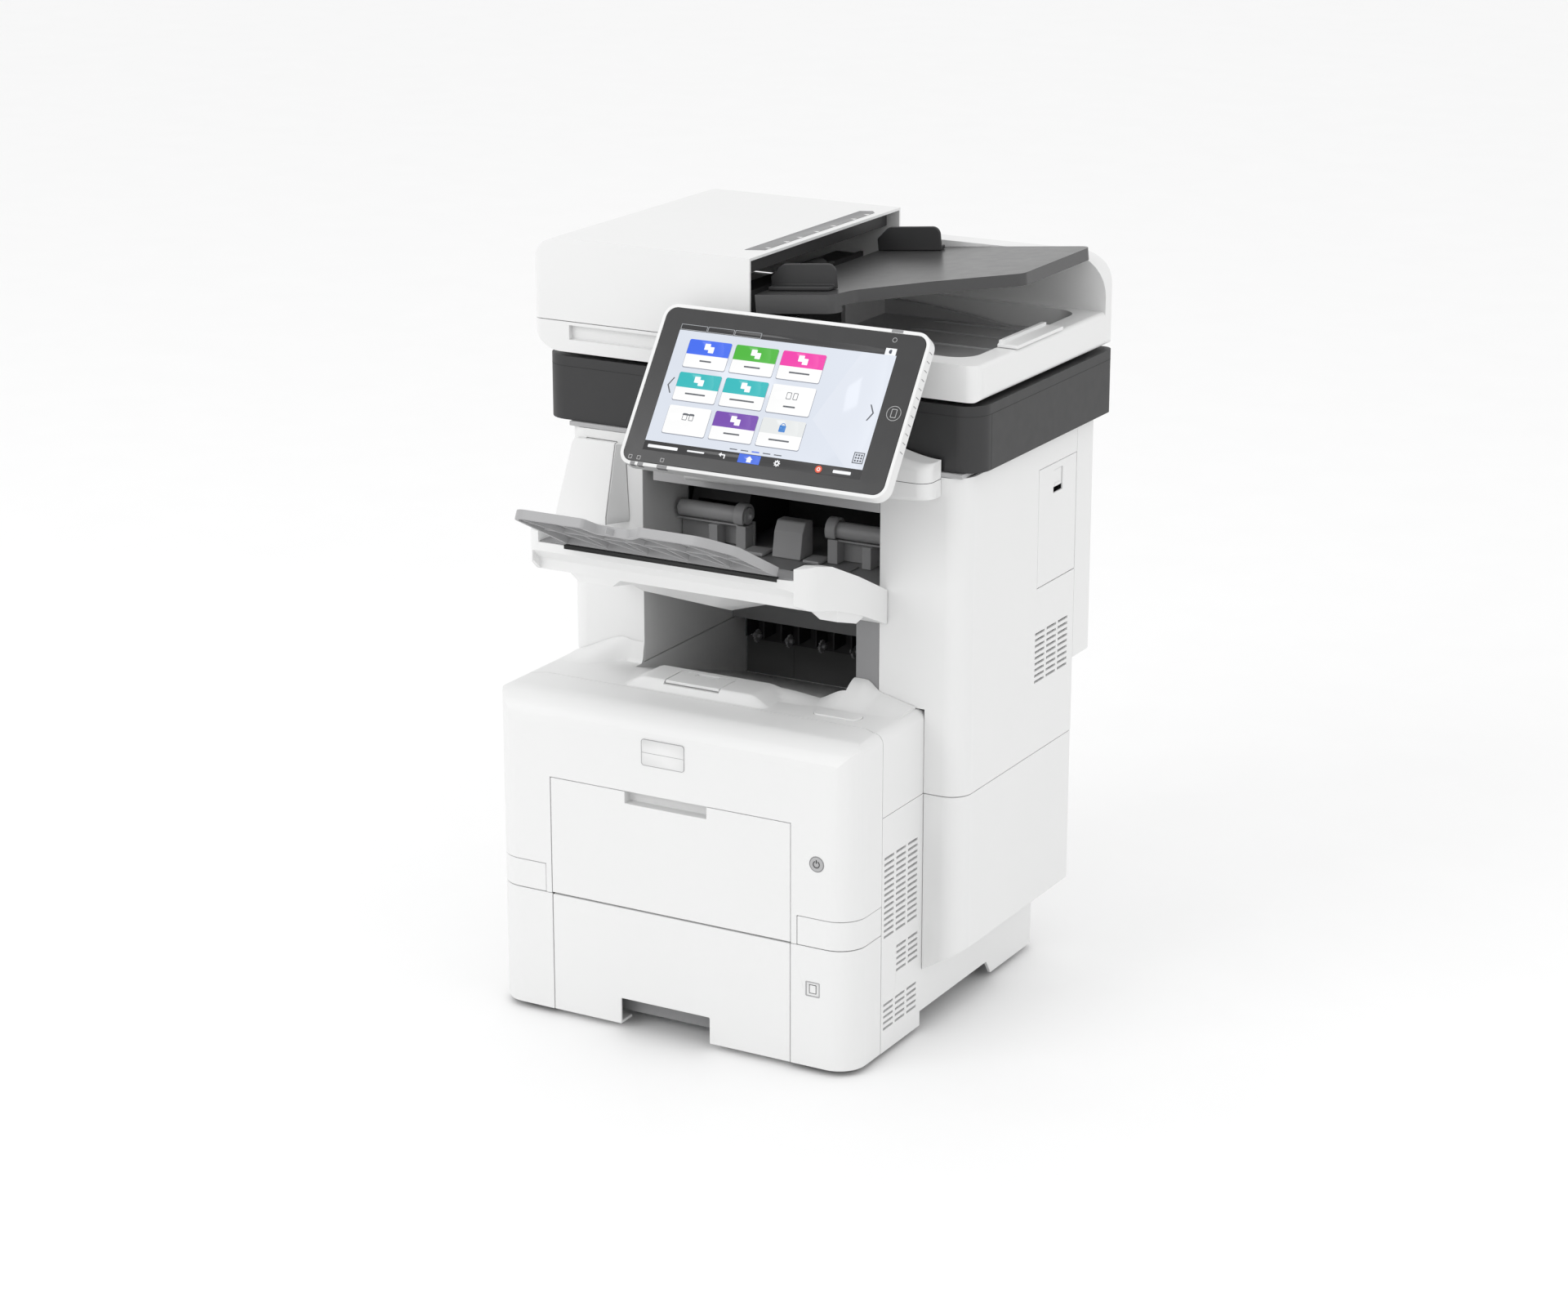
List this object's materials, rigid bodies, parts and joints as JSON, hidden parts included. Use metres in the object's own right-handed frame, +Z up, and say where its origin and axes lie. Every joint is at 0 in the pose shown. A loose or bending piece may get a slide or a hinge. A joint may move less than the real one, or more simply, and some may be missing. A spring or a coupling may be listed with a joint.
{
  "type": "photocopier",
  "caption": "Desktop multifunction photocopier with paper cassette, bypass door, stapling finisher, flatbed scanner, document feeder and tilting touch panel.",
  "frame": {"origin": "centre of the footprint on the floor, at the underside of the rubber feet", "axes": "+Z up, -Y towards the operator, +X to the operator's right"},
  "size_m": [0.49, 0.5812, 0.7465],
  "materials": {
    "white_shell": "fine-grained moulded covers",
    "charcoal_shell": "fine-grained dark covers",
    "grey_plastic": "mid-grey moulding",
    "light_grey_plastic": "light grey moulding",
    "dark_plastic": "dark inner moulding",
    "frame_steel": "zinc-plated sheet",
    "rubber": "matt",
    "panel_glass": "glossy cover lens over the display",
    "scan_glass": "clear float glass"
  },
  "bodies": {
    "base": {"chassis": "frame_steel", "foot_front_left": "rubber", "foot_front_right": "rubber", "foot_rear_left": "rubber", "foot_rear_right": "rubber", "left_side_cover": "white_shell", "right_side_cover": "white_shell", "rear_panel": "white_shell", "top_cover": "white_shell", "left_corner_piece": "white_shell", "right_corner_piece": "white_shell", "left_feed_front": "white_shell", "right_feed_front": "white_shell", "print_cartridge": "dark_plastic", "laser_unit": "dark_plastic", "fuser_unit": "grey_plastic", "power_inlet": "dark_plastic", "tower_left_cover": "white_shell", "tower_right_cover": "white_shell", "tower_lower_cover": "white_shell", "tower_rear_cover": "white_shell", "tower_deck": "light_grey_plastic", "inner_frame": "grey_plastic", "stapler_unit": "dark_plastic", "finisher_tray": "white_shell", "panel_bracket": "white_shell", "scanner_case": "charcoal_shell", "exposure_glass": "scan_glass", "platen_hinge_left": "charcoal_shell", "platen_hinge_right": "charcoal_shell"},
    "front_cover": {"front_cover": "white_shell"},
    "power_button": {"power_button": "light_grey_plastic"},
    "bypass_door": {"bypass_door": "white_shell"},
    "cover_release_button": {"cover_release_button": "white_shell"},
    "cassette": {"cassette_body": "grey_plastic", "cassette_front": "white_shell"},
    "lift_plate": {"cassette_lift_plate": "frame_steel"},
    "side_fence_left": {"side_fence_left": "grey_plastic"},
    "side_fence_right": {"side_fence_right": "grey_plastic"},
    "end_fence": {"end_fence": "grey_plastic"},
    "feed_roller": {"feed_roller": "rubber"},
    "cooling_fan": {"cooling_fan": "dark_plastic"},
    "stopper_fence": {"stopper_fence": "white_shell"},
    "rear_cover": {"rear_cover": "white_shell"},
    "side_door": {"side_door": "white_shell"},
    "side_door_latch": {"side_door_latch": "white_shell"},
    "staple_cover": {"staple_cover": "white_shell"},
    "exit_roller_left": {"exit_roller_left": "light_grey_plastic"},
    "exit_roller_right": {"exit_roller_right": "light_grey_plastic"},
    "tray_extension": {"tray_extension": "grey_plastic"},
    "panel": {"panel_housing": "white_shell", "panel_glass": "panel_glass"},
    "scan_carriage": {"scan_carriage": "dark_plastic"},
    "platen": {"platen_cover": "white_shell"},
    "feeder_cover": {"feeder_cover": "white_shell"},
    "input_tray": {"input_tray": "charcoal_shell"},
    "front_guide": {"front_guide": "charcoal_shell"},
    "rear_guide": {"rear_guide": "charcoal_shell"},
    "output_flap": {"output_flap": "white_shell"},
    "pickup_roller": {"pickup_roller": "rubber"}
  },
  "joints": [
    {"name": "front_cover_hinge", "type": "hinge", "parent": "base", "child": "front_cover", "pos_m": [-0.007, -0.17236, 0.1288], "axis": [1, 0, 0], "range_deg": [0, 85]},
    {"name": "bypass_door_hinge", "type": "hinge", "parent": "front_cover", "child": "bypass_door", "pos_m": [-0.007, -0.17236, 0.1294], "axis": [-1, 0, 0], "range_deg": [-75, 0]},
    {"name": "power_button_press", "type": "slide", "parent": "front_cover", "child": "power_button", "axis": [0, 1, 0], "range_m": [0, 0.0015], "stiffness_N_per_m": 500, "springref_m": -0.0015},
    {"name": "cover_release_press", "type": "slide", "parent": "base", "child": "cover_release_button", "axis": [0, 0, -1], "range_m": [0, 0.003], "stiffness_N_per_m": 400, "springref_m": -0.002},
    {"name": "cassette_slide", "type": "slide", "parent": "base", "child": "cassette", "axis": [0, -1, 0], "range_m": [0, 0.3]},
    {"name": "lift_plate_hinge", "type": "hinge", "parent": "cassette", "child": "lift_plate", "pos_m": [-0.007, 0.06764, 0.0188], "axis": [-1, 0, 0], "range_deg": [0, 16]},
    {"name": "side_fence_right_slide", "type": "slide", "parent": "cassette", "child": "side_fence_right", "axis": [-1, 0, 0], "range_m": [0, 0.03]},
    {"name": "side_fence_left_slide", "type": "slide", "parent": "cassette", "child": "side_fence_left", "axis": [1, 0, 0], "range_m": [0, 0.03]},
    {"name": "end_fence_slide", "type": "slide", "parent": "cassette", "child": "end_fence", "axis": [0, -1, 0], "range_m": [0, 0.07]},
    {"name": "feed_roller_spin", "type": "hinge", "parent": "base", "child": "feed_roller", "pos_m": [-0.007, -0.11036, 0.123], "axis": [1, 0, 0], "continuous": true},
    {"name": "cooling_fan_spin", "type": "hinge", "parent": "base", "child": "cooling_fan", "pos_m": [0.176, -0.07436, 0.165], "axis": [1, 0, 0], "continuous": true},
    {"name": "stopper_fence_hinge", "type": "hinge", "parent": "base", "child": "stopper_fence", "pos_m": [-0.025, -0.09596, 0.3374], "axis": [1, 0, 0], "range_deg": [0, 75]},
    {"name": "rear_cover_hinge", "type": "hinge", "parent": "base", "child": "rear_cover", "pos_m": [-0.007, 0.22564, 0.106], "axis": [-1, 0, 0], "range_deg": [0, 80]},
    {"name": "side_door_hinge", "type": "hinge", "parent": "base", "child": "side_door", "pos_m": [0.234, 0.17064, 0.416], "axis": [0, 1, 0], "range_deg": [0, 90]},
    {"name": "side_door_latch_slide", "type": "slide", "parent": "side_door", "child": "side_door_latch", "axis": [0, 0, -1], "range_m": [0, 0.003], "stiffness_N_per_m": 300, "springref_m": -0.002},
    {"name": "staple_cover_hinge", "type": "hinge", "parent": "base", "child": "staple_cover", "pos_m": [-0.165, -0.05336, 0.472], "axis": [1, 0, 0], "range_deg": [0, 80]},
    {"name": "exit_roller_left_spin", "type": "hinge", "parent": "base", "child": "exit_roller_left", "pos_m": [-0.074, 0.03264, 0.476], "axis": [1, 0, 0], "continuous": true},
    {"name": "exit_roller_right_spin", "type": "hinge", "parent": "base", "child": "exit_roller_right", "pos_m": [0.0965, 0.03264, 0.476], "axis": [1, 0, 0], "continuous": true},
    {"name": "tray_extension_hinge", "type": "hinge", "parent": "base", "child": "tray_extension", "pos_m": [0.007, -0.19236, 0.498], "axis": [-1, 0, 0], "range_deg": [0, 75]},
    {"name": "panel_tilt", "type": "hinge", "parent": "base", "child": "panel", "pos_m": [0.103, -0.08436, 0.596], "axis": [1, 0, 0], "range_deg": [0, 30]},
    {"name": "scan_carriage_slide", "type": "slide", "parent": "base", "child": "scan_carriage", "axis": [1, 0, 0], "range_m": [0, 0.3]},
    {"name": "platen_hinge", "type": "hinge", "parent": "base", "child": "platen", "pos_m": [0.003, 0.28164, 0.633], "axis": [-1, 0, 0], "range_deg": [0, 60]},
    {"name": "feeder_cover_hinge", "type": "hinge", "parent": "platen", "child": "feeder_cover", "pos_m": [-0.245, 0.12564, 0.665], "axis": [0, -1, 0], "range_deg": [0, 70]},
    {"name": "input_tray_hinge", "type": "hinge", "parent": "platen", "child": "input_tray", "pos_m": [0.005, 0.11764, 0.7], "axis": [0, -1, 0], "range_deg": [0, 30]},
    {"name": "front_guide_slide", "type": "slide", "parent": "input_tray", "child": "front_guide", "axis": [0, 1, 0], "range_m": [0, 0.05]},
    {"name": "rear_guide_slide", "type": "slide", "parent": "input_tray", "child": "rear_guide", "axis": [0, -1, 0], "range_m": [0, 0.05]},
    {"name": "output_flap_hinge", "type": "hinge", "parent": "platen", "child": "output_flap", "pos_m": [0.2426, 0.10664, 0.6696], "axis": [0, 1, 0], "range_deg": [0, 85]},
    {"name": "pickup_roller_spin", "type": "hinge", "parent": "platen", "child": "pickup_roller", "pos_m": [-0.022, 0.12264, 0.705], "axis": [0, 1, 0], "continuous": true}
  ],
  "couplings": [
    {"joint": "side_fence_left_slide", "follows": "side_fence_right_slide", "ratio": 1},
    {"joint": "rear_guide_slide", "follows": "front_guide_slide", "ratio": 1},
    {"joint": "exit_roller_right_spin", "follows": "exit_roller_left_spin", "ratio": 1}
  ]
}
